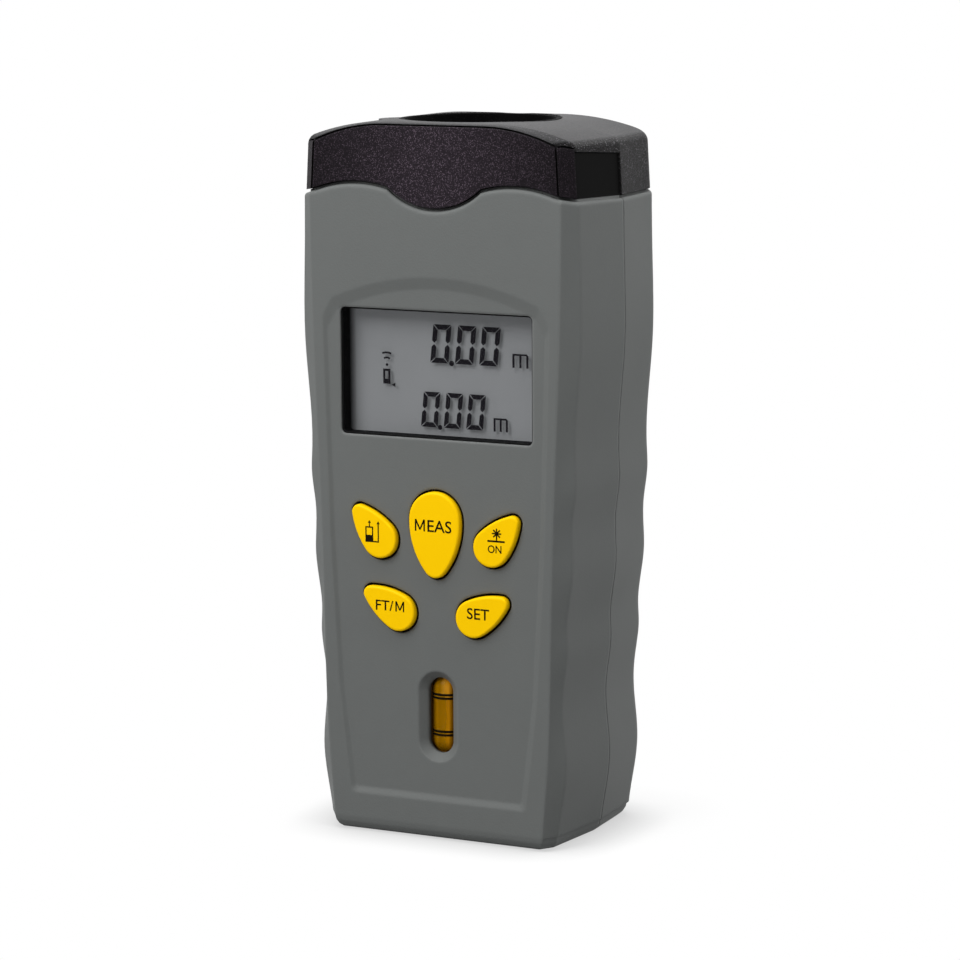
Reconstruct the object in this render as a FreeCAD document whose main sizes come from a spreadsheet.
"""Hand-held distance meter: ultrasonic horn and laser pointer in the head, display and five keys in front,
a level vial below them, and a nine-volt battery behind a hinged door. Millimetres, +Z up, the front faces -Y.
The origin is at the middle of the bounding box, on the base."""
import FreeCAD, Part
import Sketcher
import math
import os
from FreeCAD import Rotation, Vector

os.makedirs("parts", exist_ok=True)
doc = FreeCAD.newDocument("distance_meter")

# ---------------------------------------------------------------- driving dimensions
SIZES = [
    ("Case", None),
    ("case_depth", 36.0), ("split_depth", 18.4), ("split_gap", 0.12), ("wall", 2.0), ("front_wall", 2.9),
    ("back_wall", 2.4), ("floor_wall", 2.0), ("facet_depth", 2.7), ("side_draft", 1.5), ("back_draft", 0.8),
    ("back_round", 4.5), ("foot_bevel", 2.1), ("foot_bevel_tall", 2.6), ("foot_spare", 2.0),
    ("seam_gap", 0.12), ("seam_round", 0.7), ("seam_groove", 0.6), ("seam_groove_deep", 0.8),
    ("Side of the case at the facet edge: half-widths and heights", None),
    ("foot_half", 23.45), ("flare_half", 25.4), ("flare_high", 15.5), ("waist_half", 24.6), ("waist_high", 27.0),
    ("ridge_half_low", 25.66), ("ridge_half_mid", 26.72), ("ridge_half_top", 27.38), ("ridge_low_high", 37.8),
    ("ridge_pitch", 15.0), ("ridge_fall", 6.6), ("ridge_drop", 0.78), ("ridge_run", 4.2), ("ridge_dip", 0.14),
    ("shoulder_half", 28.42), ("shoulder_high", 92.5), ("collar_half", 28.33), ("collar_high", 108.0),
    ("neck_half", 28.15), ("neck_high", 124.0),
    ("Front face: half-widths", None),
    ("face_foot_half", 21.7), ("face_flare_half", 22.7), ("face_grip_half", 23.6), ("face_grip_high", 47.6),
    ("face_shoulder_half", 25.2), ("face_neck_half", 25.72),
    ("Seam between body and cap", None),
    ("seam_side", 120.0), ("seam_shoulder", 121.3), ("seam_shoulder_x", 24.2), ("seam_crest", 122.7),
    ("seam_crest_x", 16.0), ("seam_dip", 118.1), ("seam_dip_edge", 121.8), ("seam_dip_x", 9.5),
    ("Cap", None),
    ("cap_high", 133.5), ("cap_lean", 0.9), ("cap_corner_high", 130.3), ("cap_flat_half", 10.0),
    ("cap_corner_round", 2.0), ("bezel_top_drop", 0.3), ("bezel_fall", 0.7), ("bezel_wall", 1.4),
    ("bezel_gap", 0.3), ("bezel_groove", 0.5), ("inlay_high", 128.9), ("inlay_fall", 1.1),
    ("inlay_sunk", 0.3), ("inlay_thick", 0.8), ("inlay_gap", 0.1),
    ("Front panel", None),
    ("panel_drop", 0.5), ("panel_side_slope", 0.95), ("panel_top_slope", 2.2), ("panel_foot_slope", 1.1),
    ("panel_apex", 105.4), ("panel_corner", 100.9),
    ("panel_side_high", 97.5), ("panel_half_top", 23.3), ("panel_half_mid", 22.2), ("panel_mid_high", 57.0),
    ("panel_half_low", 20.6), ("panel_low_high", 28.0), ("panel_half_foot", 18.2), ("panel_foot", 7.4),
    ("panel_round", 2.0),
    ("Display", None),
    ("window_half", 19.73), ("window_low", 75.55), ("window_tall", 23.7), ("window_round", 1.0),
    ("lcd_half", 21.4), ("lcd_low", 73.9), ("lcd_tall", 27.0), ("lcd_front", 3.6), ("lcd_thick", 2.2),
    ("frame_wall", 1.0), ("frame_gap", 0.2), ("lip_front", 0.9), ("lip_wall", 0.3),
    ("strip_half", 19.0), ("strip_wide", 2.0), ("strip_inset", 0.6),
    ("Keys: wide end and narrow end as x, height, radius", None),
    ("measure_wide_x", 0.0), ("measure_wide_high", 60.6), ("measure_wide_rad", 5.25),
    ("measure_slim_x", 0.0), ("measure_slim_high", 52.15), ("measure_slim_rad", 2.4),
    ("upper_wide_x", 11.55), ("upper_wide_high", 56.25), ("upper_wide_rad", 3.6),
    ("upper_slim_x", 15.8), ("upper_slim_high", 61.05), ("upper_slim_rad", 1.45),
    ("lower_wide_x", 7.8), ("lower_wide_high", 42.7), ("lower_wide_rad", 3.55),
    ("lower_slim_x", 13.5), ("lower_slim_high", 45.85), ("lower_slim_rad", 1.45), ("key_side_rad", 15.0),
    ("key_proud", 0.6), ("key_crown", 0.45), ("key_gap", 0.45), ("key_travel", 1.0), ("key_rim", 0.9),
    ("key_rim_thick", 1.0), ("key_rim_gap", 0.2),
    ("Board and what it carries", None),
    ("board_half", 21.0), ("board_low", 36.0), ("board_high", 102.4), ("board_front", 8.0), ("board_thick", 1.6),
    ("board_boss_x", 19.0), ("board_boss_low", 40.0), ("board_boss_high", 70.4), ("board_boss_rad", 2.0),
    ("board_screw_rad", 0.9), ("board_screw_head", 1.7), ("board_screw_head_tall", 1.2),
    ("board_screw_deep", 4.0), ("screw_fit", 0.05),
    ("membrane_half", 16.6), ("membrane_low", 38.0), ("membrane_high", 68.0), ("membrane_thick", 1.0),
    ("dome_gap", 0.3), ("dome_rad", 1.5), ("dome_foot_rad", 2.3),
    ("chip_side", 10.0), ("chip_thick", 1.4), ("chip_high", 84.0),
    ("capacitor_rad", 3.15), ("capacitor_tall", 7.0), ("capacitor_x", 14.0), ("capacitor_high", 84.0),
    ("capacitor_pitch", 8.0),
    ("transformer_side", 9.0), ("transformer_tall", 8.0), ("transformer_x", 10.0), ("transformer_high", 88.0),
    ("buzzer_rad", 6.0), ("buzzer_tall", 5.0), ("buzzer_x", 9.5), ("buzzer_high", 71.0), ("buzzer_vent", 1.0),
    ("Vial", None),
    ("vial_high", 23.45), ("dish_half", 4.1), ("dish_tall", 17.2), ("dish_depth", 1.4), ("slot_half", 2.55),
    ("slot_tall", 14.4), ("vial_rad", 2.9), ("vial_tall", 15.2), ("vial_wall", 0.7), ("vial_reach", 1.0),
    ("bubble_rad", 1.45), ("bubble_tall", 4.0), ("bubble_gap", 0.15), ("cradle_wall", 1.5), ("cradle_fit", 0.05),
    ("Horn and transducer", None),
    ("horn_place", 0.5417), ("mouth_share", 0.3945), ("horn_wall", 0.9), ("horn_drop", 0.15), ("throat_rad", 6.6),
    ("throat_high", 113.4), ("horn_fit", 0.12), ("rim_land", 1.6), ("horn_relief", 7.0),
    ("can_rad", 8.0), ("can_tall", 11.6), ("gasket_wall", 1.2), ("gasket_tall", 9.6), ("gasket_fit", 0.05),
    ("mesh_rad", 6.9), ("mesh_thick", 0.4), ("pin_rad", 0.5), ("pin_long", 4.0), ("pin_pitch", 5.0),
    ("Laser pointer", None),
    ("laser_x", -20.4), ("laser_depth", 27.0), ("laser_rad", 3.2), ("laser_tall", 17.0), ("laser_drop", 1.6),
    ("laser_lip", 0.8), ("laser_fit", 0.05), ("laser_sleeve", 1.2), ("laser_sleeve_tall", 9.0),
    ("lens_rad", 2.2), ("lens_thick", 0.9), ("lens_crown", 0.35),
    ("Battery bay", None),
    ("battery_half", 13.25), ("battery_thick", 17.5), ("battery_tall", 46.4), ("battery_low", 8.2),
    ("battery_round", 2.0), ("battery_gap", 0.3), ("bay_wall", 1.2), ("bay_ledge", 1.5),
    ("terminal_rad", 2.9), ("terminal_tall", 2.4),
    ("terminal_x", 6.35), ("snap_half", 12.6), ("snap_deep", 12.0), ("snap_tall", 3.8), ("snap_fit", 0.15),
    ("lead_rad", 0.6), ("lead_x", 2.4), ("lead_rise", 9.0), ("lead_bend", 3.4),
    ("Battery door", None),
    ("door_half", 15.0), ("door_low", 7.0), ("door_tall", 53.0), ("door_thick", 2.2), ("door_gap", 0.3),
    ("trunnion_rad", 0.7), ("trunnion_long", 1.4), ("trunnion_fit", 0.05), ("grip_rad", 9.0), ("grip_depth", 0.7),
    ("pad_half", 10.0), ("pad_tall", 32.0), ("pad_thick", 0.8), ("pad_low", 16.0), ("pad_gap", 0.1),
    ("Case screws", None),
    ("boss_rad", 3.4), ("top_boss_x", 21.4), ("top_boss_high", 108.0), ("low_boss_x", 19.8), ("low_boss_high", 8.6),
    ("case_screw_rad", 1.1), ("case_screw_head", 2.3), ("case_screw_head_tall", 1.6), ("case_screw_sunk", 1.0),
    ("counterbore_fit", 0.2), ("case_screw_bite", 9.0),
]

sheet = doc.addObject("Spreadsheet::Sheet", "Sizes")
for row, (word, value) in enumerate(SIZES, start=1):
    sheet.set("A%d" % row, word)
    if value is not None:
        sheet.set("B%d" % row, str(value))
        sheet.setAlias("B%d" % row, word)
doc.recompute()
S = {word: float(sheet.get(word)) for word, value in SIZES if value is not None}


def bound(text):
    """An expression with each size word turned into its cell in the sheet."""
    for word in sorted(S, key=len, reverse=True):
        text = text.replace("{%s}" % word, "Sizes.%s" % word)
    return text


# Depths are counted from the front face, which lies half the overall depth in front of the origin.
FRONT = "({key_proud} - {case_depth}) / 2"
front = (S["key_proud"] - S["case_depth"]) / 2
back = front + S["case_depth"]
split = front + S["split_depth"]


def deep(text):
    """The y of a place that lies this far behind the front face."""
    return "%s + %s" % (FRONT, text)


def bind(item, prop, text):
    item.setExpression(prop, bound(text))


# ---------------------------------------------------------------- ways of making a piece
def block(name, x, y, z):
    """A box between two places along each axis."""
    item = doc.addObject("Part::Box", name)
    for axis, side, (low, high) in zip("xyz", ("Length", "Width", "Height"), (x, y, z)):
        bind(item, "Placement.Base." + axis, low)
        bind(item, side, "(%s) - (%s)" % (high, low))
    return item


TURN = {"x": Rotation(Vector(0, 1, 0), 90), "y": Rotation(Vector(1, 0, 0), -90), "z": Rotation()}


def rod(name, axis, radius, x, y, z, length):
    """A cylinder along one axis, from its low end."""
    item = doc.addObject("Part::Cylinder", name)
    item.Placement = FreeCAD.Placement(Vector(), TURN[axis])
    bind(item, "Radius", radius)
    bind(item, "Height", length)
    for letter, place in zip("xyz", (x, y, z)):
        bind(item, "Placement.Base." + letter, place)
    return item


def ball(name, radius, x, y, z):
    item = doc.addObject("Part::Sphere", name)
    bind(item, "Radius", radius)
    for letter, place in zip("xyz", (x, y, z)):
        bind(item, "Placement.Base." + letter, place)
    return item


def fused(name, pieces):
    item = doc.addObject("Part::MultiFuse", name)
    item.Shapes = pieces
    return item


def cut(name, base, *tools):
    item = doc.addObject("Part::Cut", name)
    item.Base = base
    item.Tool = tools[0] if len(tools) == 1 else fused(name + "_tools", list(tools))
    return item


def common(name, first, second):
    item = doc.addObject("Part::Common", name)
    item.Base = first
    item.Tool = second
    return item


def solid(name, shape):
    item = doc.addObject("Part::Feature", name)
    item.Shape = shape
    return item


def plane_sketch(body, name, role):
    sketch = body.newObject("Sketcher::SketchObject", name)
    plane = next(part for part in body.Origin.OriginFeatures if part.Role == role)
    sketch.AttachmentSupport = [(plane, "")]
    sketch.MapMode = "FlatFace"
    return sketch


def fix_point(sketch, geometry, point, across, up):
    """Dimensions one point from the sketch's origin."""
    for kind, text in (("DistanceX", across), ("DistanceY", up)):
        value = float(sketch.evalExpression(bound(text)))
        number = sketch.addConstraint(Sketcher.Constraint(kind, -1, 1, geometry, point, value))
        sketch.setExpression("Constraints[%d]" % number, bound(text))


def fix_radius(sketch, geometry, text):
    value = float(sketch.evalExpression(bound(text)))
    number = sketch.addConstraint(Sketcher.Constraint("Radius", geometry, value))
    sketch.setExpression("Constraints[%d]" % number, bound(text))


def outline(body, name, role, corners):
    """A closed outline of straight edges, each corner dimensioned from the body's origin."""
    sketch = plane_sketch(body, name, role)
    places = [[float(sketch.evalExpression(bound(text))) for text in corner] for corner in corners]
    count = len(places)
    for here in range(count):
        ends = [Vector(*places[(here + step) % count], 0) for step in (0, 1)]
        sketch.addGeometry(Part.LineSegment(*ends))
    for here in range(count):
        sketch.addConstraint(Sketcher.Constraint("Coincident", (here - 1) % count, 2, here, 1))
        fix_point(sketch, here, 1, *corners[here])
    return sketch


def turned(name, profile, x, y, z, axis="z"):
    """A body turned about its own axis. The profile holds radius and height of each corner."""
    body = doc.addObject("PartDesign::Body", name)
    sketch = outline(body, name + "_profile", "XZ_Plane", profile)
    turn = body.newObject("PartDesign::Revolution", name + "_turn")
    turn.Profile = sketch
    turn.ReferenceAxis = (sketch, ["V_Axis"])
    turn.Angle = 360
    body.Placement = FreeCAD.Placement(Vector(), TURN[axis])
    for letter, place in zip("xyz", (x, y, z)):
        bind(body, "Placement.Base." + letter, place)
    return body


def egg_sketch(body, name, wide, slim, grow, behind="0"):
    """An egg outline: a wide round end, a slim round end and two gently bulging sides that touch both."""
    sketch = plane_sketch(body, name, "XZ_Plane")
    ends = []
    for x, high, radius in (wide, slim):
        grown = "%s + %s" % (radius, grow)
        ends.append((x, high, grown, [float(sketch.evalExpression(bound(t))) for t in (x, high, grown)]))
    (ax, az, ar), (bx, bz, br) = ends[0][3], ends[1][3]
    side_text = "{key_side_rad} + %s" % grow
    side_rad = float(sketch.evalExpression(bound(side_text)))
    along, length = math.atan2(bz - az, bx - ax), math.hypot(bx - ax, bz - az)
    # The bulge's centre lies across the axis, where it is the side radius less the end's radius from each end.
    reach = (length ** 2 + (side_rad - ar) ** 2 - (side_rad - br) ** 2) / (2 * length)
    across = math.sqrt((side_rad - ar) ** 2 - reach ** 2)
    wide_lean, slim_lean = math.atan2(across, -reach), math.atan2(across, length - reach)

    def arc(x, z, radius, start, end):
        circle = Part.Circle(Vector(x, z, 0), Vector(0, 0, 1), radius)
        return sketch.addGeometry(Part.ArcOfCircle(circle, start, end))

    def bulge_centre(side):
        turn = along + side * math.pi / 2
        return [ax + reach * math.cos(along) - across * math.cos(turn),
                az + reach * math.sin(along) - across * math.sin(turn)]

    arc(ax, az, ar, along + wide_lean, along - wide_lean + 2 * math.pi)
    arc(*bulge_centre(-1), side_rad, along - wide_lean, along - slim_lean)
    arc(bx, bz, br, along - slim_lean, along + slim_lean)
    arc(*bulge_centre(1), side_rad, along + slim_lean, along + wide_lean)
    for first in range(4):
        sketch.addConstraint(Sketcher.Constraint("Tangent", first, 2, (first + 1) % 4, 1))
    for number, (x, high, grown, values) in zip((0, 2), ends):
        fix_point(sketch, number, 3, x, high)
        fix_radius(sketch, number, grown)
    for number in (1, 3):
        fix_radius(sketch, number, side_text)
    bind(sketch, ".AttachmentOffset.Base.z", "-(%s)" % behind)
    return sketch


def pad_back(body, name, sketch, length):
    """Adds the outline's material towards the back."""
    pad = body.newObject("PartDesign::Pad", name)
    pad.Profile = sketch
    pad.Reversed = True
    bind(pad, "Length", length)
    return pad


# ---------------------------------------------------------------- the outside of the case and cap
def side_points(inset=0.0):
    """Height and half-width down the side at the facet edge, with the three finger ridges."""
    points = [(-S["foot_spare"], S["foot_half"]), (0.0, S["foot_half"]), (S["flare_high"], S["flare_half"]),
              (S["waist_high"], S["waist_half"])]
    for number, crest in enumerate(("ridge_half_low", "ridge_half_mid", "ridge_half_top")):
        high = S["ridge_low_high"] + number * S["ridge_pitch"]
        points.append((high - S["ridge_fall"], S[crest] - S["ridge_drop"]))
        points.append((high, S[crest]))
        points.append((high + S["ridge_run"], S[crest] - S["ridge_dip"]))
    points += [(S[part + "_high"], S[part + "_half"]) for part in ("shoulder", "collar", "neck")]
    return [(high, half - inset) for high, half in points]


def face_points(inset=0.0):
    """Height and half-width of the front face, inside the facets."""
    points = [(-S["foot_spare"], S["face_foot_half"]), (0.0, S["face_foot_half"]),
              (S["flare_high"], S["face_flare_half"]),
              (S["face_grip_high"], S["face_grip_half"]), (S["shoulder_high"], S["face_shoulder_half"]),
              (S["neck_high"], S["face_neck_half"])]
    return [(high, half - inset) for high, half in points]


def station(points, y):
    """A closed loop across the case at one depth: two curved sides, a flat foot and a flat top."""
    right = Part.BSplineCurve()
    right.interpolate([Vector(half, y, high) for high, half in points])
    left = Part.BSplineCurve()
    left.interpolate([Vector(-half, y, high) for high, half in reversed(points)])
    foot = Part.LineSegment(left.EndPoint, right.StartPoint)
    top = Part.LineSegment(right.EndPoint, left.StartPoint)
    return Part.Wire([line.toShape() for line in (right, top, left, foot)])


def widened(points, extra):
    return [(high, half + extra) for high, half in points]


def case_block(inset, y_front, y_back):
    """The case's outside, or its inside when inset by a wall. The front face keeps its facets."""
    side = side_points(inset)
    facet = y_front + S["facet_depth"]
    seat = [(y_front, face_points(inset)), (facet, side), (split, widened(side, S["side_draft"])),
            (y_back, widened(side, S["side_draft"] - S["back_draft"]))]
    return Part.makeLoft([station(points, y) for y, points in seat], True, True)


def upright_back_edges(shape, y_back):
    """The two long upright edges at the back."""
    edges = []
    for edge in shape.Edges:
        box = edge.BoundBox
        if box.YMin > y_back - 0.01 and box.ZLength > box.XLength:
            edges.append(edge)
    return edges


outer = case_block(0.0, front, back)
outer = outer.makeFillet(S["back_round"], upright_back_edges(outer, back))
inner_back = back - S["back_wall"]
inner = case_block(S["wall"], front + S["front_wall"], inner_back)
inner = inner.makeFillet(S["back_round"] - S["wall"], upright_back_edges(inner, inner_back))
above_floor = Part.makeBox(200, 200, 200, Vector(-100, -100, S["floor_wall"]))
inner = inner.common(above_floor)


def foot_loop(spread, high):
    """The outline of the foot, spread outwards all round, with the back corners as short chords."""
    wide = S["foot_half"] + S["side_draft"]
    half = [(S["face_foot_half"], front), (S["foot_half"], front + S["facet_depth"]), (wide, split)]
    wide -= S["back_draft"]
    chords = 5
    for step in range(chords + 1):
        angle = math.radians(90 * step / chords)
        half.append((wide - S["back_round"] * (1 - math.cos(angle)),
                     back - S["back_round"] * (1 - math.sin(angle))))
    grow_x, grow_y = 1 + spread / wide, 1 + 2 * spread / S["case_depth"]
    points = half + [(-x, y) for x, y in reversed(half)]
    middle = (front + back) / 2
    loop = [Vector(x * grow_x, middle + (y - middle) * grow_y, high) for x, y in points]
    return Part.makePolygon(loop + loop[:1])


def foot_wedge():
    """All that lies inside the rounded bevel round the foot: a few rings that lean less and less."""
    rings = 4
    wedge = Part.makeBox(200, 200, 200, Vector(-100, -100, S["foot_bevel_tall"]))
    angles = [math.radians(90 * ring / rings) for ring in range(rings + 1)]
    loops = [foot_loop(S["foot_bevel"] * (math.sin(angle) - 1), S["foot_bevel_tall"] * (1 - math.cos(angle)))
             for angle in angles]
    for low, high in zip(loops, loops[1:]):
        wedge = wedge.fuse(Part.makeLoft([low, high], True, True))
    return wedge


outer = outer.common(foot_wedge())


def above_seam(drop=0.0):
    """All that lies above the wavy seam between body and cap."""
    def spot(side, word):
        x = S["seam_" + word + "_x"]
        z = S["seam_dip_edge"] if word == "dip" else S["seam_" + word]
        return Vector(side * x, -100, z - drop)

    dip = Part.Arc(spot(-1, "dip"), Vector(0, -100, S["seam_dip"] - drop), spot(1, "dip"))
    lines = [dip]
    for side in (1, -1):
        lines.append(Part.Arc(spot(side, "dip"), spot(side, "crest"), spot(side, "shoulder")))
        fall = (S["seam_shoulder"] - S["seam_side"]) / (S["neck_half"] + S["side_draft"] - S["seam_shoulder_x"])
        far = Vector(side * 50, -100, S["seam_shoulder"] - fall * (50 - S["seam_shoulder_x"]) - drop)
        lines.append(Part.LineSegment(spot(side, "shoulder"), far))
        lines.append(Part.LineSegment(far, Vector(side * 50, -100, 200)))
    lines.append(Part.LineSegment(Vector(50, -100, 200), Vector(-50, -100, 200)))
    loop = Part.Wire(Part.__sortEdges__([line.toShape() for line in lines]))
    return Part.Face(loop).extrude(Vector(0, 200, 0))


def seam_rim(shape, core):
    """The outer edges round the top of the body: those that bound its top faces and lie outside the core."""
    def on_seam(face):
        slope = face.normalAt(*face.Surface.parameter(face.CenterOfMass)).z
        return slope > 0.6 and face.BoundBox.ZMin > S["seam_dip"] - 2

    seen = {}
    for face in shape.Faces:
        if on_seam(face):
            for edge in face.Edges:
                middle = edge.valueAt((edge.FirstParameter + edge.LastParameter) / 2)
                if not core.isInside(middle, 0.001, True):
                    seen.setdefault(edge.hashCode(), []).append(edge)
    return [edges[0] for edges in seen.values() if len(edges) == 1]


groove_deep = S["seam_groove_deep"]
groove_core = case_block(groove_deep, front + groove_deep, back - groove_deep)
core_edges = upright_back_edges(groove_core, back - groove_deep)
groove_core = groove_core.makeFillet(S["back_round"] - groove_deep, core_edges)
seam_groove = above_seam(S["seam_groove"]).cut(groove_core)
body_block = outer.cut(above_seam(S["seam_gap"])).cut(seam_groove)
body_block = body_block.makeFillet(S["seam_round"], seam_rim(body_block, groove_core))
body_shell = body_block.cut(inner)


def slab(y_low, y_high):
    """Everything between two depths."""
    return Part.makeBox(300, y_high - y_low, 400, Vector(-150, y_low, -100))


half_gap = S["split_gap"] / 2
front_skin = solid("front_skin", body_shell.common(slab(front - 5, split - half_gap)))
back_skin = solid("back_skin", body_shell.common(slab(split + half_gap, back + 5)))


# ---------------------------------------------------------------- the cap: front bezel and back hood
def cap_loop(half, top, y, inset=0.0):
    """A loop across the cap at one depth: leaning sides and a flat top that curves down to the corners."""
    low, corner = S["seam_dip"] - 4, S["cap_corner_high"] - (S["cap_high"] - top) - inset
    foot, shoulder, flat = half - inset, half - S["cap_lean"] - inset, S["cap_flat_half"]
    roof = top - inset
    run, fall = shoulder - flat, roof - corner
    radius = (run ** 2 + fall ** 2) / (2 * fall)
    mid_run = run / 2
    mid = roof - radius + math.sqrt(radius ** 2 - mid_run ** 2)
    right = Part.LineSegment(Vector(foot, y, low), Vector(shoulder, y, corner))
    arc_right = Part.Arc(right.EndPoint, Vector(flat + mid_run, y, mid), Vector(flat, y, roof))
    top_line = Part.LineSegment(arc_right.EndPoint, Vector(-flat, y, roof))
    arc_left = Part.Arc(top_line.EndPoint, Vector(-flat - mid_run, y, mid), Vector(-shoulder, y, corner))
    left = Part.LineSegment(arc_left.EndPoint, Vector(-foot, y, low))
    foot_line = Part.LineSegment(left.EndPoint, right.StartPoint)
    return Part.Wire([line.toShape() for line in (right, arc_right, top_line, arc_left, left, foot_line)])


def cap_block(inset, y_front, y_back):
    top, side = S["cap_high"], S["neck_half"]
    facet = y_front + S["facet_depth"]
    loops = [cap_loop(S["face_neck_half"], top - S["bezel_top_drop"], y_front, inset),
             cap_loop(side, top, facet, inset), cap_loop(side + S["side_draft"], top, split, inset),
             cap_loop(side + S["side_draft"] - S["back_draft"], top, y_back, inset)]
    return Part.makeLoft(loops, True, True)


def roof_corners(shape):
    """The long edges where the leaning sides meet the curved top."""
    edges = []
    for edge in shape.Edges:
        box = edge.BoundBox
        high = abs(box.Center.z - S["cap_corner_high"]) < 2.5
        if high and abs(box.Center.x) > S["face_neck_half"] - 3 and box.YLength > 1 and box.ZLength < 1:
            edges.append(edge)
    return edges


cap_outer = cap_block(0.0, front, back)
cap_outer = cap_outer.makeFillet(S["back_round"], upright_back_edges(cap_outer, back))
cap_outer = cap_outer.makeFillet(S["cap_corner_round"], roof_corners(cap_outer))
cap_inner = cap_block(S["wall"], front + S["front_wall"], inner_back)
cap_skin = cap_outer.cut(cap_inner).common(above_seam())


def bezel_face(inset, thick):
    """The flat front of the head, between the facets and under the top."""
    loop = cap_loop(S["face_neck_half"], S["cap_high"] - S["bezel_top_drop"], front - 1, inset)
    return Part.Face(loop).extrude(Vector(0, thick + 1, 0))


def bezel_room(gap, roof_gap):
    """Where the bezel lies: the flat front and both facets, as thick as its wall. The gaps make it smaller."""
    deep_wall = S["bezel_wall"] - gap
    core = cap_block(deep_wall, front + deep_wall, back - deep_wall)
    high, low = S["cap_corner_high"] - S["bezel_top_drop"] - roof_gap, S["seam_dip"] - 4
    inside, reach = S["face_neck_half"], S["neck_half"] - S["face_neck_half"]
    corners = [Vector(0, front - 1, low), Vector(0, front - 1, high), Vector(inside, front - 1, high),
               Vector(inside + 3 * reach, front - 1, high - 3 * S["bezel_fall"]),
               Vector(inside + 3 * reach, front - 1, low)]
    facet = Part.Face(Part.makePolygon(corners + corners[:1]))
    facet = facet.extrude(Vector(0, S["facet_depth"] - gap + 1, 0))
    facets = facet.fuse(facet.mirror(Vector(), Vector(1, 0, 0)))
    return facets.fuse(bezel_face(0.0, deep_wall)).cut(core)


def inlay_room(gap, deep_side):
    """The smooth field on each side of the head, between the facet and the split, down to the seam."""
    near, far = front + S["facet_depth"] + gap, split - gap
    high, low = S["inlay_high"] - gap, S["seam_dip"] - 4
    corners = [Vector(0, near, low), Vector(0, near, high), Vector(0, far, high - S["inlay_fall"]),
               Vector(0, far, low)]
    field = Part.Face(Part.makePolygon(corners + corners[:1])).extrude(Vector(100, 0, 0))
    field = field.fuse(field.mirror(Vector(), Vector(1, 0, 0)))
    return field.cut(cap_block(deep_side, front + deep_side, back - deep_side))


INLAY_DEEP = S["inlay_sunk"] + S["inlay_thick"]
bezel_ring = bezel_face(0.0, S["bezel_groove"]).cut(bezel_face(S["bezel_gap"], S["bezel_groove"]))
solid("cap_bezel", cap_skin.common(bezel_room(S["inlay_gap"], S["bezel_gap"])).cut(bezel_ring))
inlay_skin = cap_skin.common(cap_block(S["inlay_sunk"], front + S["inlay_sunk"], back - S["inlay_sunk"]))
solid("cap_inlays", inlay_skin.common(inlay_room(S["inlay_gap"], INLAY_DEEP)))
hood_skin = cap_skin.cut(bezel_room(0.0, 0.0))
hood_skin = solid("hood_skin", hood_skin.cut(inlay_room(0.0, INLAY_DEEP + S["inlay_gap"])))

# ---------------------------------------------------------------- the panel and what opens through it
def panel_loop(share, y):
    """The panel's outline: an arched top, leaning sides and a narrow foot, drawn in by a share of its slopes."""
    side, top, foot = (share * S["panel_%s_slope" % word] for word in ("side", "top", "foot"))
    half = [(S["panel_half_top"] - S["panel_round"] - side, S["panel_corner"] - top),
            (S["panel_half_top"] - side, S["panel_side_high"] - top),
            (S["panel_half_mid"] - side, S["panel_mid_high"]), (S["panel_half_low"] - side, S["panel_low_high"]),
            (S["panel_half_foot"] - side, S["panel_foot"] + foot)]
    right = [Vector(x, y, z) for x, z in half]
    left = [Vector(-x, y, z) for x, z in reversed(half)]
    arch = Part.Arc(left[-1], Vector(0, y, S["panel_apex"] - top), right[0])
    run = right + left
    lines = [Part.LineSegment(first, second) for first, second in zip(run, run[1:])]
    return Part.Wire([line.toShape() for line in [arch] + lines])


floor_depth = front + S["panel_drop"]
panel = Part.makeLoft([panel_loop(-1, front - S["panel_drop"]), panel_loop(1, floor_depth)], True, True)
slanted = [edge for edge in panel.Edges if edge.BoundBox.YLength > S["panel_drop"]]
panel_room = solid("panel_room", panel.makeFillet(S["panel_round"], slanted))


def stadium(half, tall, y):
    """A long round-ended loop, standing upright."""
    reach = tall / 2 - half
    high = S["vial_high"]
    top = Part.Arc(Vector(half, y, high + reach), Vector(0, y, high + tall / 2), Vector(-half, y, high + reach))
    foot = Part.Arc(Vector(-half, y, high - reach), Vector(0, y, high - tall / 2), Vector(half, y, high - reach))
    sides = [Part.LineSegment(top.EndPoint, foot.StartPoint), Part.LineSegment(foot.EndPoint, top.StartPoint)]
    return Part.Wire([line.toShape() for line in (top, sides[0], foot, sides[1])])


dish_floor = floor_depth + S["dish_depth"]
dish = Part.makeLoft([stadium(S["dish_half"], S["dish_tall"], floor_depth),
                      stadium(S["slot_half"], S["slot_tall"], dish_floor)], True, True)
slot = Part.Face(stadium(S["slot_half"], S["slot_tall"], floor_depth)).extrude(Vector(0, S["vial_rad"] + 6, 0))
vial_room = solid("vial_room", dish.fuse(slot))


def window_block(name, inset, near, length):
    """A block the shape of the window with rounded corners, drawn in by an inset."""
    body = doc.addObject("PartDesign::Body", name)
    half, low = "{window_half} - %s" % inset, "{window_low} + %s" % inset
    high = "{window_low} + {window_tall} - %s" % inset
    sketch = outline(body, name + "_outline", "XZ_Plane", [
        ("-{window_half} + %s" % inset, low), (half, low), (half, high), ("-{window_half} + %s" % inset, high)])
    pad = pad_back(body, name + "_pad", sketch, length)
    bind(body, "Placement.Base.y", near)
    doc.recompute()
    corners = ["Edge%d" % (number + 1) for number, edge in enumerate(pad.Shape.Edges) if edge.BoundBox.YLength > 1]
    rounded = body.newObject("PartDesign::Fillet", name + "_round_edges")
    rounded.Base = (pad, corners)
    bind(rounded, "Radius", "{window_round} - %s" % inset)
    return body


window = window_block("window_room", "0", deep("-1"), "{front_wall} + 2")


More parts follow.
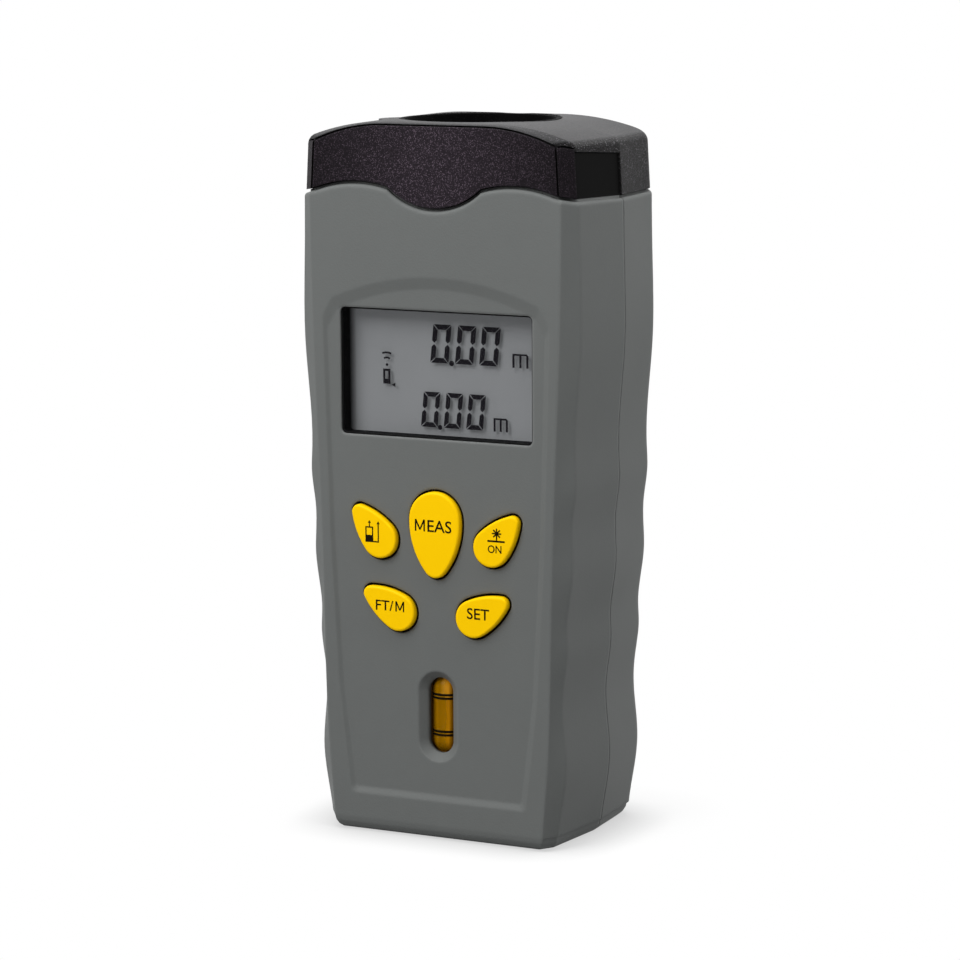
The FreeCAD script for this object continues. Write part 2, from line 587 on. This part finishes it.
# ---------------------------------------------------------------- the keys
def key_ends(word, side):
    """The wide and the slim end of a key: x, height and radius. The left key mirrors the right one."""
    sign = "" if side > 0 else "-"
    return [(sign + "{%s_%s_x}" % (word, end), "{%s_%s_high}" % (word, end), "{%s_%s_rad}" % (word, end))
            for end in ("wide", "slim")]


KEYS = [("key_measure", "measure", 1), ("key_reference", "upper", -1), ("key_laser", "upper", 1),
        ("key_units", "lower", -1), ("key_set", "lower", 1)]
holes = []
stems = "{key_proud} + {front_wall} + {key_rim_gap}"
for name, word, side in KEYS:
    wide, slim = key_ends(word, side)
    key = doc.addObject("PartDesign::Body", name)
    stem = pad_back(key, name + "_stem", egg_sketch(key, name + "_outline", wide, slim, "0"), stems)
    doc.recompute()
    crown = ["Edge%d" % (number + 1) for number, edge in enumerate(stem.Shape.Edges)
             if edge.BoundBox.YMax < 0.001]
    crown_round = key.newObject("PartDesign::Fillet", name + "_crown")
    crown_round.Base = (stem, crown)
    bind(crown_round, "Radius", "{key_crown}")
    rim = egg_sketch(key, name + "_rim_outline", wide, slim, "{key_rim}", stems)
    pad_back(key, name + "_rim", rim, "{key_rim_thick}")
    bind(key, "Placement.Base.y", deep("-{key_proud}"))
    hole = doc.addObject("PartDesign::Body", name + "_hole")
    gap = egg_sketch(hole, name + "_hole_outline", wide, slim, "{key_gap}")
    pad_back(hole, name + "_hole_pad", gap, "{front_wall} + 2")
    bind(hole, "Placement.Base.y", deep("-1"))
    holes.append(hole)
doc.recompute()

# ---------------------------------------------------------------- front and back shell
board_bosses, board_screws = [], []
case_bosses, rear_bosses, case_screws, rear_bores, front_bores = [], [], [], [], []
BOARD_SPOTS = [(side + "{board_boss_x}", high) for side in ("-", "") for high in
               ("{board_boss_low}", "{board_boss_high}")]
for number, (x, high) in enumerate(BOARD_SPOTS, start=1):
    spot = (x, deep("{front_wall} - 0.2"), high)
    board_bosses.append(rod("board_boss_%d" % number, "y", "{board_boss_rad}", *spot,
                            "{board_front} - {front_wall} + 0.2"))
    front_bores.append(rod("board_bore_%d" % number, "y", "{board_screw_rad} + {screw_fit}", x,
                           deep("{board_front} - {board_screw_deep}"), high, "{board_screw_deep}"))
CASE_SPOTS = [(side + "{%s_boss_x}" % end, "{%s_boss_high}" % end) for side in ("-", "") for end in
              ("top", "low")]
SUNK = "{case_depth} - {case_screw_sunk} - {case_screw_head_tall}"
for number, (x, high) in enumerate(CASE_SPOTS, start=1):
    case_bosses.append(rod("case_boss_%d" % number, "y", "{boss_rad}", x, deep("{front_wall} - 0.2"), high,
                           "{split_depth} - {split_gap} / 2 - {front_wall} + 0.2"))
    rear_bosses.append(rod("rear_boss_%d" % number, "y", "{boss_rad}", x, deep("{split_depth} + {split_gap} / 2"),
                           high, "{case_depth} - {back_wall} + 0.2 - {split_depth} - {split_gap} / 2"))
    front_bores.append(rod("case_bore_%d" % number, "y", "{case_screw_rad} + {screw_fit}", x,
                           deep("{split_depth} - {case_screw_bite} - 1"), high, "{case_screw_bite} + 2"))
    rear_bores.append(rod("rear_bore_%d" % number, "y", "{case_screw_rad} + {screw_fit}", x,
                          deep("{split_depth} - 1"), high, "{case_depth} - {split_depth} + 2"))
    rear_bores.append(rod("counterbore_%d" % number, "y", "{case_screw_head} + {counterbore_fit}", x,
                          deep(SUNK), high, "{case_screw_sunk} + {case_screw_head_tall} + 1"))
front_solid = fused("front_solid", [front_skin] + board_bosses + case_bosses)
cut("front_shell", front_solid, panel_room, vial_room, window, *(holes + front_bores))

BAY_SIDE = "{battery_half} + {battery_gap}"
BAY_FRONT = "{case_depth} - {door_thick} - {pad_thick} - {pad_gap} - {battery_thick} - {battery_gap}"
BAY_REAR = "{case_depth} - {door_thick} - {door_gap}"
BAY_LOW = "{battery_low} - {battery_gap}"
DOOR_HIGH = "{door_low} + {door_tall}"
DOOR_EDGE = "{door_half} + {door_gap}"
LEDGE = BAY_REAR + " - {bay_ledge}"
bay_outside = block("bay_outside", ("-(%s) - {bay_wall}" % BAY_SIDE, "%s + {bay_wall}" % BAY_SIDE),
                    (deep(BAY_FRONT + " - {bay_wall}"), deep(BAY_REAR)),
                    (BAY_LOW + " - {bay_wall}", DOOR_HIGH + " - {bay_ledge}"))
door_frame = block("door_frame", ("-(%s) - {bay_wall}" % DOOR_EDGE, "%s + {bay_wall}" % DOOR_EDGE),
                   (deep(LEDGE), deep("{case_depth} - {back_wall} + 0.2")),
                   ("{door_low} - {door_gap} - {bay_wall}", DOOR_HIGH + " + {door_gap} + {bay_wall}"))
bay_inside = block("bay_inside", ("-(%s)" % BAY_SIDE, BAY_SIDE), (deep(BAY_FRONT), deep(LEDGE)),
                   (BAY_LOW, DOOR_HIGH + " + {bay_wall}"))
bay_mouth = block("bay_mouth", ("-(%s)" % BAY_SIDE, BAY_SIDE), (deep(LEDGE + " - 1"), deep("{case_depth} + 1")),
                  (BAY_LOW, DOOR_HIGH + " - {bay_ledge}"))
door_room = block("door_room", ("-(%s)" % DOOR_EDGE, DOOR_EDGE), (deep(BAY_REAR), deep("{case_depth} + 1")),
                  ("{door_low} - {door_gap}", DOOR_HIGH + " + {door_gap}"))
PIVOT_DEPTH, PIVOT_HIGH = "{case_depth} - {door_thick} / 2", "{door_low} + {door_thick} / 2"
trunnion_room = rod("trunnion_room", "x", "{trunnion_rad} + {trunnion_fit}",
                    "-{door_half} - {trunnion_long} - {door_gap}", deep(PIVOT_DEPTH), PIVOT_HIGH,
                    "2 * ({door_half} + {trunnion_long} + {door_gap})")
back_solid = fused("back_solid", [back_skin, bay_outside, door_frame] + rear_bosses)
cut("back_shell", back_solid, bay_inside, bay_mouth, door_room, trunnion_room, *rear_bores)

# ---------------------------------------------------------------- screws
def screws(name, spots, radius, head, head_tall, long, place):
    """Identical screws in one node. Each is turned about its axis, head towards the back."""
    made = []
    for number, (x, high) in enumerate(spots, start=1):
        slot_deep, slot_rad = head_tall + " * 0.5", head + " * 0.45"
        profile = [("0", "-(%s)" % long), (radius, "-(%s)" % long), (radius, "0"), (head, "0"),
                   (head, head_tall), (slot_rad, head_tall), (slot_rad, head_tall + " - " + slot_deep),
                   ("0", head_tall + " - " + slot_deep)]
        made.append(turned("%s_%d" % (name, number), profile, x, place, high, "y"))
    group = doc.addObject("Part::Compound", name)
    group.Links = made
    return group


screws("board_screws", BOARD_SPOTS, "{board_screw_rad}", "{board_screw_head}", "{board_screw_head_tall}",
       "{board_thick} + {board_screw_deep} - 0.3", deep("{board_front} + {board_thick}"))
screws("case_screws", CASE_SPOTS, "{case_screw_rad}", "{case_screw_head}", "{case_screw_head_tall}",
       SUNK + " - {split_depth} + {case_screw_bite}", deep(SUNK))

# ---------------------------------------------------------------- the head: hood, horn, transducer, laser
HORN_Y = deep("{case_depth} * {horn_place}")
HORN_TOP = "{cap_high} - {horn_drop}"
MOUTH = "{case_depth} * {mouth_share}"
RIM = MOUTH + " + {horn_wall}"
SOCKET = "{can_rad} + {gasket_wall} + {gasket_fit}"
SOCKET_LOW = "{throat_high} - {can_tall} + 1"
LASER_TOP = "{cap_high} - {laser_drop}"
horn_opening = rod("horn_opening", "z", RIM + " + {horn_fit}", "0", HORN_Y, HORN_TOP + " - {horn_relief}",
                   "{horn_relief} + {horn_drop} + 1")
laser_opening = rod("laser_opening", "z", "{laser_rad} - {laser_lip}", "{laser_x}", deep("{laser_depth}"),
                    LASER_TOP + " - 1", "{laser_drop} + 3")
laser_bore = rod("laser_bore", "z", "{laser_rad} + {laser_fit}", "{laser_x}", deep("{laser_depth}"),
                 LASER_TOP + " - {laser_tall} - 1", "{laser_tall} + 1")
sleeve = rod("laser_sleeve", "z", "{laser_rad} + {laser_fit} + {laser_sleeve}", "{laser_x}",
             deep("{laser_depth}"), LASER_TOP + " - {laser_sleeve_tall}", "{laser_sleeve_tall} + 0.4")
cut("cap_hood", fused("hood_solid", [hood_skin, sleeve]), horn_opening, laser_opening, laser_bore)

turned("horn", [(MOUTH, HORN_TOP), (RIM, HORN_TOP), (RIM, HORN_TOP + " - {rim_land}"),
                (SOCKET + " + {horn_wall}", "{throat_high} + 1"), (SOCKET + " + {horn_wall}", SOCKET_LOW),
                (SOCKET, SOCKET_LOW), (SOCKET, "{throat_high}"), ("{throat_rad}", "{throat_high}"),
                ("{throat_rad}", "{throat_high} + 1")], "0", HORN_Y, "0")
CAN_TOP = "{throat_high} - {mesh_thick}"
turned("transducer_mesh", [("0", CAN_TOP), ("{mesh_rad}", CAN_TOP), ("{mesh_rad}", "{throat_high}"),
                           ("0", "{throat_high}")], "0", HORN_Y, "0")
can = turned("transducer_can", [("0", CAN_TOP + " - {can_tall}"), ("{can_rad}", CAN_TOP + " - {can_tall}"),
                                ("{can_rad}", CAN_TOP), ("0", CAN_TOP)], "0", HORN_Y, "0")
pins = [rod("transducer_pin_" + word, "z", "{pin_rad}", side + "{pin_pitch} / 2", HORN_Y,
            CAN_TOP + " - {can_tall} - {pin_long}", "{pin_long} + 0.5") for word, side in
        (("left", "-"), ("right", ""))]
fused("transducer", [can] + pins)
GASKET_LOW = CAN_TOP + " - {gasket_tall} - 0.3"
turned("transducer_gasket", [("{can_rad} + {gasket_fit}", GASKET_LOW), ("{can_rad} + {gasket_wall}", GASKET_LOW),
                             ("{can_rad} + {gasket_wall}", CAN_TOP), ("{can_rad} + {gasket_fit}", CAN_TOP)],
       "0", HORN_Y, "0")

BARREL = ("{laser_x}", deep("{laser_depth}"))
turned("laser_barrel", [("0", LASER_TOP + " - {laser_tall}"), ("{laser_rad}", LASER_TOP + " - {laser_tall}"),
                        ("{laser_rad}", LASER_TOP), ("{lens_rad} - 0.5", LASER_TOP),
                        ("{lens_rad} - 0.5", LASER_TOP + " - {laser_lip}"),
                        ("{lens_rad} + {laser_fit}", LASER_TOP + " - {laser_lip}"),
                        ("{lens_rad} + {laser_fit}", LASER_TOP + " - {laser_lip} - {lens_thick} - {lens_crown}"),
                        ("0", LASER_TOP + " - {laser_lip} - {lens_thick} - {lens_crown}")], *BARREL, "0")
LENS_TOP = LASER_TOP + " - {laser_lip} - {laser_fit}"
turned("laser_lens", [("0", LENS_TOP + " - {lens_thick}"), ("{lens_rad}", LENS_TOP + " - {lens_thick}"),
                      ("{lens_rad}", LENS_TOP), ("0", LENS_TOP)], *BARREL, "0")

# ---------------------------------------------------------------- display, board and keypad mat
LCD_BACK = "{lcd_front} + {lcd_thick}"
block("lcd_panel", ("-{lcd_half}", "{lcd_half}"), (deep("{lcd_front}"), deep(LCD_BACK)),
      ("{lcd_low}", "{lcd_low} + {lcd_tall}"))
frame_body = block("frame_body", ("-{lcd_half} - {frame_wall}", "{lcd_half} + {frame_wall}"),
                   (deep("{front_wall} + {frame_gap}"), deep("{board_front}")),
                   ("{lcd_low} - {frame_wall}", "{lcd_low} + {lcd_tall} + {frame_wall}"))
frame_pocket = block("frame_pocket", ("-{lcd_half} - {screw_fit}", "{lcd_half} + {screw_fit}"),
                     (deep("{lcd_front}"), deep("{board_front} + 1")),
                     ("{lcd_low} - {screw_fit}", "{lcd_low} + {lcd_tall} + {screw_fit}"))
lip_outside = window_block("lip_outside", "{screw_fit}", deep("{lip_front}"), "{lcd_front} - {lip_front}")
lip_view = window_block("lip_view", "{lip_wall}", deep("{lip_front} - 1"), "{lcd_front} - {lip_front} + 1.5")
frame_solid = fused("frame_solid", [frame_body, lip_outside])
cut("lcd_frame", frame_solid, frame_pocket, lip_view)
strips = [block("strip_" + word, ("-{strip_half}", "{strip_half}"), (deep(LCD_BACK), deep("{board_front}")),
                (low, low + " + {strip_wide}")) for word, low in
          (("low", "{lcd_low} + {strip_inset}"),
           ("high", "{lcd_low} + {lcd_tall} - {strip_inset} - {strip_wide}"))]
strip_pair = doc.addObject("Part::Compound", "lcd_strips")
strip_pair.Links = strips

BOARD_BACK = "{board_front} + {board_thick}"
board_blank = block("board_blank", ("-{board_half}", "{board_half}"), (deep("{board_front}"), deep(BOARD_BACK)),
                    ("{board_low}", "{board_high}"))
board_holes = [rod("board_hole_%d" % number, "y", "{board_screw_rad} + {screw_fit}", x,
                   deep("{board_front} - 1"), high, "{board_thick} + 2")
               for number, (x, high) in enumerate(BOARD_SPOTS, start=1)]
cut("main_board", board_blank, *board_holes)

MAT_FRONT = "{board_front} - {membrane_thick}"
DOME_FRONT = "{front_wall} + {key_rim_gap} + {key_rim_thick} + {key_travel} + {dome_gap}"
mat = block("mat_sheet", ("-{membrane_half}", "{membrane_half}"), (deep(MAT_FRONT), deep("{board_front}")),
            ("{membrane_low}", "{membrane_high}"))
domes = []
for name, word, side in KEYS:
    x, high, radius = key_ends(word, side)[0]
    profile = [("0", "0"), ("{dome_rad}", "0"), ("{dome_foot_rad}", "%s + 0.2 - (%s)" % (MAT_FRONT, DOME_FRONT)),
               ("0", "%s + 0.2 - (%s)" % (MAT_FRONT, DOME_FRONT))]
    domes.append(turned(name + "_dome", profile, x, deep(DOME_FRONT), high, "y"))
fused("keypad_membrane", [mat] + domes)

block("main_chip", ("-{chip_side} / 2", "{chip_side} / 2"), (deep(BOARD_BACK), deep(BOARD_BACK + " + {chip_thick}")),
      ("{chip_high} - {chip_side} / 2", "{chip_high} + {chip_side} / 2"))
capacitors = doc.addObject("Part::Compound", "capacitors")
capacitors.Links = [rod("capacitor_" + word, "y", "{capacitor_rad}", "-{capacitor_x}", deep(BOARD_BACK),
                        "{capacitor_high}" + shift, "{capacitor_tall}") for word, shift in
                    (("low", ""), ("high", " + {capacitor_pitch}"))]
block("pulse_transformer", ("{transformer_x} - {transformer_side} / 2", "{transformer_x} + {transformer_side} / 2"),
      (deep(BOARD_BACK), deep(BOARD_BACK + " + {transformer_tall}")),
      ("{transformer_high} - {transformer_side} / 2", "{transformer_high} + {transformer_side} / 2"))
turned("buzzer", [("0", "0"), ("{buzzer_rad}", "0"), ("{buzzer_rad}", "{buzzer_tall}"),
                  ("{buzzer_vent}", "{buzzer_tall}"), ("{buzzer_vent}", "{buzzer_tall} - 1"),
                  ("0", "{buzzer_tall} - 1")], "-{buzzer_x}", deep(BOARD_BACK), "{buzzer_high}", "y")

# ---------------------------------------------------------------- level vial
VIAL_FRONT = "{front_wall} - {vial_reach}"
VIAL_Y = VIAL_FRONT + " + {vial_rad}"


def capsule(name, radius, tall, high="{vial_high}"):
    """An upright round-ended rod in the middle of the vial."""
    reach = "((%s) / 2 - (%s))" % (tall, radius)
    barrel = rod(name + "_barrel", "z", radius, "0", deep(VIAL_Y), "%s - %s" % (high, reach), "2 * " + reach)
    ends = [ball(name + "_" + word, radius, "0", deep(VIAL_Y), "%s %s %s" % (high, sign, reach))
            for word, sign in (("foot", "-"), ("head", "+"))]
    return fused(name, [barrel] + ends)


cut("vial_tube", capsule("vial_outside", "{vial_rad}", "{vial_tall}"),
    capsule("vial_inside", "{vial_rad} - {vial_wall}", "{vial_tall} - 2 * {vial_wall}"))
capsule("vial_bubble", "{bubble_rad}", "{bubble_tall}",
        "({vial_high} + {vial_tall} / 2 - {vial_wall} - {bubble_tall} / 2 - {bubble_gap})")
cradle_half = "{vial_rad} + {cradle_fit} + {cradle_wall}"
cradle_reach = "{vial_tall} / 2 + {cradle_fit} + {cradle_wall}"
cradle_block = block("cradle_block", ("-(%s)" % cradle_half, cradle_half),
                     (deep("{front_wall}"), deep(VIAL_Y + " + " + cradle_half)),
                     ("{vial_high} - (%s)" % cradle_reach, "{vial_high} + " + cradle_reach))
cradle_room = capsule("cradle_room", "{vial_rad} + {cradle_fit}", "{vial_tall} + 2 * {cradle_fit}")
cradle_view = block("cradle_view", ("-{slot_half}", "{slot_half}"), (deep("{front_wall} - 1"), deep(VIAL_Y)),
                    ("{vial_high} - {slot_tall} / 2", "{vial_high} + {slot_tall} / 2"))
cut("vial_cradle", cradle_block, cradle_room, cradle_view)

# ---------------------------------------------------------------- battery, its snap and leads
battery_front = BAY_FRONT + " + {battery_gap}"
battery_top = "{battery_low} + {battery_tall}"
battery_body = doc.addObject("PartDesign::Body", "battery_body")
base = outline(battery_body, "battery_outline", "XY_Plane", [
    ("-{battery_half}", "0"), ("{battery_half}", "0"), ("{battery_half}", "{battery_thick}"),
    ("-{battery_half}", "{battery_thick}")])
battery_pad = battery_body.newObject("PartDesign::Pad", "battery_pad")
battery_pad.Profile = base
bind(battery_pad, "Length", "{battery_tall}")
doc.recompute()
uprights = ["Edge%d" % (number + 1) for number, edge in enumerate(battery_pad.Shape.Edges)
            if edge.BoundBox.ZLength > 1]
battery_round = battery_body.newObject("PartDesign::Fillet", "battery_round_edges")
battery_round.Base = (battery_pad, uprights)
bind(battery_round, "Radius", "{battery_round}")
bind(battery_body, "Placement.Base.y", deep(battery_front))
bind(battery_body, "Placement.Base.z", "{battery_low}")
TERMINAL_Y = deep(battery_front + " + {battery_thick} / 2")
terminals = [rod("terminal_" + word, "z", "{terminal_rad}", side + "{terminal_x}", TERMINAL_Y,
                 battery_top + " - 0.5", "{terminal_tall} + 0.5") for word, side in (("left", "-"), ("right", ""))]
fused("battery", [battery_body] + terminals)
SNAP_LOW = battery_top + " + {snap_fit}"
snap_block = block("snap_block", ("-{snap_half}", "{snap_half}"),
                   (TERMINAL_Y + " - {snap_deep} / 2", TERMINAL_Y + " + {snap_deep} / 2"),
                   (SNAP_LOW, SNAP_LOW + " + {snap_tall}"))
snap_cups = [rod("snap_cup_" + word, "z", "{terminal_rad} + {snap_fit}", side + "{terminal_x}", TERMINAL_Y,
                 battery_top, "{terminal_tall} + {snap_fit}") for word, side in (("left", "-"), ("right", ""))]
cut("battery_snap", snap_block, *snap_cups)


def lead(name, x):
    """One wire: up from the snap, round a bend, and forward to the board's back."""
    foot = S["battery_low"] + S["battery_tall"] + S["snap_fit"] + S["snap_tall"]
    lead_y = float(sheet.evalExpression(bound(TERMINAL_Y)))
    end = front + S["board_front"] + S["board_thick"]
    top, bend = foot + S["lead_rise"], S["lead_bend"]
    rise = Part.LineSegment(Vector(x, lead_y, foot), Vector(x, lead_y, top - bend))
    turn = Part.Arc(rise.EndPoint, Vector(x, lead_y - bend + bend * math.cos(math.pi / 4),
                                          top - bend + bend * math.sin(math.pi / 4)),
                    Vector(x, lead_y - bend, top))
    run = Part.LineSegment(turn.EndPoint, Vector(x, end, top))
    path = Part.Wire([line.toShape() for line in (rise, turn, run)])
    ring = Part.Wire([Part.Circle(rise.StartPoint, Vector(0, 0, 1), S["lead_rad"]).toShape()])
    tube = path.makePipeShell([ring], True, False)
    print(name, "bend radius", bend, "volume over section times length",
          round(tube.Volume / (math.pi * S["lead_rad"] ** 2 * path.Length), 4))
    return tube


solid("battery_leads", Part.makeCompound([lead("lead", side * S["lead_x"]) for side in (-1, 1)]))

# ---------------------------------------------------------------- battery door
door_plate = block("door_plate", ("-{door_half}", "{door_half}"), (deep("{case_depth} - {door_thick}"),
                   deep("{case_depth}")), (PIVOT_HIGH, DOOR_HIGH))
knuckle = rod("door_knuckle", "x", "{door_thick} / 2", "-{door_half}", deep(PIVOT_DEPTH), PIVOT_HIGH,
              "2 * {door_half}")
trunnions = rod("door_trunnions", "x", "{trunnion_rad}", "-{door_half} - {trunnion_long}", deep(PIVOT_DEPTH),
                PIVOT_HIGH, "2 * ({door_half} + {trunnion_long})")
thumb = ball("door_thumb", "{grip_rad}", "0", deep("{case_depth} + {grip_rad} - {grip_depth}"),
             DOOR_HIGH + " - {grip_rad} * 0.7")
cut("battery_door", fused("door_solid", [door_plate, knuckle, trunnions]), thumb)
block("door_pad", ("-{pad_half}", "{pad_half}"),
      (deep("{case_depth} - {door_thick} - {pad_thick}"), deep("{case_depth} - {door_thick}")),
      ("{pad_low}", "{pad_low} + {pad_tall}"))
doc.recompute()

# ---------------------------------------------------------------- check and write
NODES = ["front_shell", "back_shell", "cap_bezel", "cap_inlays", "cap_hood", "horn", "transducer_gasket", "transducer",
         "transducer_mesh", "laser_barrel", "laser_lens", "lcd_panel", "lcd_frame", "lcd_strips", "main_board",
         "keypad_membrane", "key_measure", "key_reference", "key_laser", "key_units", "key_set", "main_chip",
         "capacitors", "pulse_transformer", "buzzer", "vial_tube", "vial_bubble", "vial_cradle", "battery",
         "battery_snap", "battery_leads", "battery_door", "door_pad", "board_screws", "case_screws"]
for item in doc.Objects:
    if {"Invalid", "Error"} & set(item.State):
        raise SystemExit("%s: %s" % (item.Name, item.State))
for name in NODES:
    shape = doc.getObject(name).Shape
    if shape.isNull() or not shape.isValid() or not shape.Solids:
        raise SystemExit(name + " has no valid shape")
    shape.exportStep("parts/%s.step" % name)
    print("%-18s %d solid(s), %.0f cubic mm" % (name, len(shape.Solids), shape.Volume))
